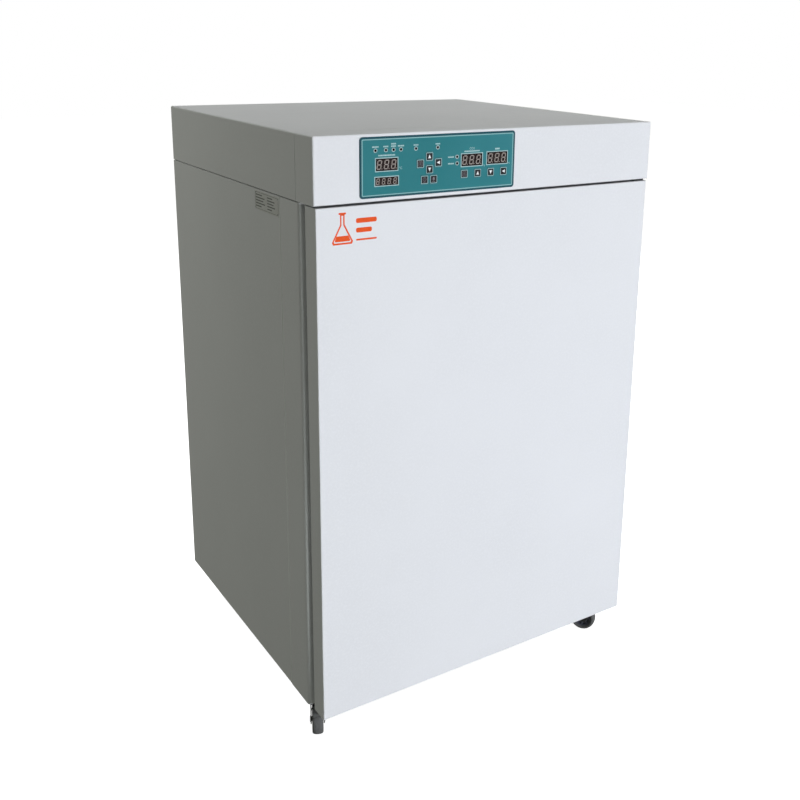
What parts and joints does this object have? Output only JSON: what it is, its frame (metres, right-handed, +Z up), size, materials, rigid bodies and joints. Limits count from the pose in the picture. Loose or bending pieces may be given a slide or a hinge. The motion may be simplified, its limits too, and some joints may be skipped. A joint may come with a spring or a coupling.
{
  "type": "laboratory incubator",
  "caption": "Floor-standing laboratory CO2 incubator on casters with a solid outer door, an inner glass door, pull-out shelves and a control head.",
  "frame": {"origin": "on the floor at the centre of the object's box", "axes": "+Z up, +X to the object's right seen from the front, the front faces -Y"},
  "size_m": [0.6404, 0.6256, 1.012],
  "materials": {
    "white_paint": "satin",
    "dark_steel": "satin",
    "stainless": "satin",
    "insulation_wool": "matte",
    "heater_silicone": "matte",
    "seal_rubber": "matte",
    "control_panel_teal": "satin",
    "display_glass": "gloss",
    "circuit_board": "satin",
    "plated_steel": "satin",
    "brass_fitting": "satin",
    "black_plastic": "satin",
    "label_foil": "satin",
    "motor_housing": "satin",
    "fan_aluminium": "satin",
    "white_plastic": "satin",
    "bush_plastic": "matte",
    "door_glass": "gloss",
    "wheel_rubber": "matte"
  },
  "bodies": {
    "cabinet": {"base_frame": "dark_steel", "side_panel_left": "white_paint", "side_panel_right": "white_paint", "back_panel": "white_paint", "front_frame": "white_paint", "chamber_liner": "stainless", "insulation": "insulation_wool", "heater_mats": "heater_silicone", "chamber_probes": "stainless", "shelf_racks": "stainless", "chamber_gasket": "seal_rubber", "head_deck": "dark_steel", "head_fascia": "white_paint", "head_cover": "white_paint", "control_overlay": "control_panel_teal", "display_modules": "display_glass", "circuit_boards": "circuit_board", "power_supply": "plated_steel", "gas_inlet": "brass_fitting", "power_inlet": "black_plastic", "rating_plate": "label_foil", "fan_motor": "motor_housing", "fan_cover": "stainless", "outer_hinge_brackets": "dark_steel", "inner_door_brackets": "stainless", "caster_plates": "plated_steel", "fasteners": "plated_steel"},
    "outer_door": {"outer_door_skin": "white_paint", "outer_door_liner": "white_plastic", "outer_door_foam": "insulation_wool", "outer_door_gasket": "seal_rubber", "outer_hinge_bushes": "bush_plastic"},
    "inner_door": {"inner_door_glass": "door_glass", "inner_door_clamps": "stainless"},
    "inner_latch": {"inner_door_knob": "black_plastic"},
    "shelf_lower": {"shelf_lower": "stainless"},
    "shelf_upper": {"shelf_upper": "stainless"},
    "water_tray": {"water_tray": "stainless"},
    "fan": {"fan_impeller": "fan_aluminium"},
    "power_switch": {"power_switch_rocker": "black_plastic"},
    "key_temp_set": {"key_temp_set": "black_plastic"},
    "key_temp_up": {"key_temp_up": "black_plastic"},
    "key_temp_shift": {"key_temp_shift": "black_plastic"},
    "key_temp_down": {"key_temp_down": "black_plastic"},
    "key_timer": {"key_timer": "black_plastic"},
    "key_alarm": {"key_alarm": "black_plastic"},
    "key_co2_set": {"key_co2_set": "black_plastic"},
    "key_co2_up": {"key_co2_up": "black_plastic"},
    "key_co2_down": {"key_co2_down": "black_plastic"},
    "key_co2_shift": {"key_co2_shift": "black_plastic"},
    "caster_front_left": {"caster_fork_front_left": "plated_steel"},
    "wheel_front_left": {"caster_wheel_front_left": "wheel_rubber"},
    "brake_front_left": {"caster_brake_front_left": "black_plastic"},
    "caster_front_right": {"caster_fork_front_right": "plated_steel"},
    "wheel_front_right": {"caster_wheel_front_right": "wheel_rubber"},
    "brake_front_right": {"caster_brake_front_right": "black_plastic"},
    "caster_rear_left": {"caster_fork_rear_left": "plated_steel"},
    "wheel_rear_left": {"caster_wheel_rear_left": "wheel_rubber"},
    "caster_rear_right": {"caster_fork_rear_right": "plated_steel"},
    "wheel_rear_right": {"caster_wheel_rear_right": "wheel_rubber"}
  },
  "joints": [
    {"name": "outer_door_hinge", "type": "hinge", "parent": "cabinet", "child": "outer_door", "pos_m": [0.301, -0.292, 0.5], "axis": [0, 0, 1], "range_deg": [0, 110]},
    {"name": "inner_door_hinge", "type": "hinge", "parent": "cabinet", "child": "inner_door", "pos_m": [0.262, -0.259, 0.5], "axis": [0, 0, 1], "range_deg": [0, 100]},
    {"name": "inner_latch_turn", "type": "hinge", "parent": "inner_door", "child": "inner_latch", "pos_m": [-0.228, -0.263, 0.494], "axis": [0, 1, 0], "range_deg": [-90, 0]},
    {"name": "shelf_lower_slide", "type": "slide", "parent": "cabinet", "child": "shelf_lower", "axis": [0, -1, 0], "range_m": [0, 0.3]},
    {"name": "shelf_upper_slide", "type": "slide", "parent": "cabinet", "child": "shelf_upper", "axis": [0, -1, 0], "range_m": [0, 0.3]},
    {"name": "water_tray_slide", "type": "slide", "parent": "cabinet", "child": "water_tray", "axis": [0, -1, 0], "range_m": [0, 0.3]},
    {"name": "fan_spin", "type": "hinge", "parent": "cabinet", "child": "fan", "pos_m": [0, 0.06, 0.79], "axis": [0, 0, 1], "continuous": true},
    {"name": "power_switch_rock", "type": "hinge", "parent": "cabinet", "child": "power_switch", "pos_m": [0.16, 0.2862, 0.964], "axis": [1, 0, 0], "range_deg": [0, 16]},
    {"name": "key_temp_set_press", "type": "slide", "parent": "cabinet", "child": "key_temp_set", "axis": [0, 1, 0], "range_m": [0, 0.0008], "stiffness_N_per_m": 500},
    {"name": "key_temp_up_press", "type": "slide", "parent": "cabinet", "child": "key_temp_up", "axis": [0, 1, 0], "range_m": [0, 0.0008], "stiffness_N_per_m": 500},
    {"name": "key_temp_shift_press", "type": "slide", "parent": "cabinet", "child": "key_temp_shift", "axis": [0, 1, 0], "range_m": [0, 0.0008], "stiffness_N_per_m": 500},
    {"name": "key_temp_down_press", "type": "slide", "parent": "cabinet", "child": "key_temp_down", "axis": [0, 1, 0], "range_m": [0, 0.0008], "stiffness_N_per_m": 500},
    {"name": "key_timer_press", "type": "slide", "parent": "cabinet", "child": "key_timer", "axis": [0, 1, 0], "range_m": [0, 0.0008], "stiffness_N_per_m": 500},
    {"name": "key_alarm_press", "type": "slide", "parent": "cabinet", "child": "key_alarm", "axis": [0, 1, 0], "range_m": [0, 0.0008], "stiffness_N_per_m": 500},
    {"name": "key_co2_set_press", "type": "slide", "parent": "cabinet", "child": "key_co2_set", "axis": [0, 1, 0], "range_m": [0, 0.0008], "stiffness_N_per_m": 500},
    {"name": "key_co2_up_press", "type": "slide", "parent": "cabinet", "child": "key_co2_up", "axis": [0, 1, 0], "range_m": [0, 0.0008], "stiffness_N_per_m": 500},
    {"name": "key_co2_down_press", "type": "slide", "parent": "cabinet", "child": "key_co2_down", "axis": [0, 1, 0], "range_m": [0, 0.0008], "stiffness_N_per_m": 500},
    {"name": "key_co2_shift_press", "type": "slide", "parent": "cabinet", "child": "key_co2_shift", "axis": [0, 1, 0], "range_m": [0, 0.0008], "stiffness_N_per_m": 500},
    {"name": "caster_front_left_swivel", "type": "hinge", "parent": "cabinet", "child": "caster_front_left", "pos_m": [-0.28555, -0.22187, 0.07], "axis": [0, 0, 1], "continuous": true},
    {"name": "wheel_front_left_roll", "type": "hinge", "parent": "caster_front_left", "child": "wheel_front_left", "pos_m": [-0.294, -0.24, 0.025], "axis": [0.9063, -0.4226, 0], "continuous": true},
    {"name": "brake_front_left_press", "type": "hinge", "parent": "caster_front_left", "child": "brake_front_left", "pos_m": [-0.29992, -0.25269, 0.054], "axis": [0.9063, -0.4226, 0], "range_deg": [0, 16]},
    {"name": "caster_front_right_swivel", "type": "hinge", "parent": "cabinet", "child": "caster_front_right", "pos_m": [0.28053, -0.22562, 0.07], "axis": [0, 0, 1], "continuous": true},
    {"name": "wheel_front_right_roll", "type": "hinge", "parent": "caster_front_right", "child": "wheel_front_right", "pos_m": [0.292, -0.242, 0.025], "axis": [0.8192, 0.5736, 0], "continuous": true},
    {"name": "brake_front_right_press", "type": "hinge", "parent": "caster_front_right", "child": "brake_front_right", "pos_m": [0.30003, -0.25347, 0.054], "axis": [0.8192, 0.5736, 0], "range_deg": [0, 16]},
    {"name": "caster_rear_left_swivel", "type": "hinge", "parent": "cabinet", "child": "caster_rear_left", "pos_m": [-0.25653, 0.2253, 0.07], "axis": [0, 0, 1], "continuous": true},
    {"name": "wheel_rear_left_roll", "type": "hinge", "parent": "caster_rear_left", "child": "wheel_rear_left", "pos_m": [-0.26, 0.245, 0.025], "axis": [-0.9848, -0.1736, 0], "continuous": true},
    {"name": "caster_rear_right_swivel", "type": "hinge", "parent": "cabinet", "child": "caster_rear_right", "pos_m": [0.25516, 0.22621, 0.07], "axis": [0, 0, 1], "continuous": true},
    {"name": "wheel_rear_right_roll", "type": "hinge", "parent": "caster_rear_right", "child": "wheel_rear_right", "pos_m": [0.262, 0.245, 0.025], "axis": [-0.9397, 0.342, 0], "continuous": true}
  ],
  "couplings": [
    {"joint": "inner_door_hinge", "follows": "outer_door_hinge", "ratio": 0.9},
    {"joint": "shelf_lower_slide", "follows": "outer_door_hinge", "m_per_rad": 0.05},
    {"joint": "shelf_upper_slide", "follows": "outer_door_hinge", "m_per_rad": 0.05},
    {"joint": "water_tray_slide", "follows": "outer_door_hinge", "m_per_rad": 0.05}
  ]
}
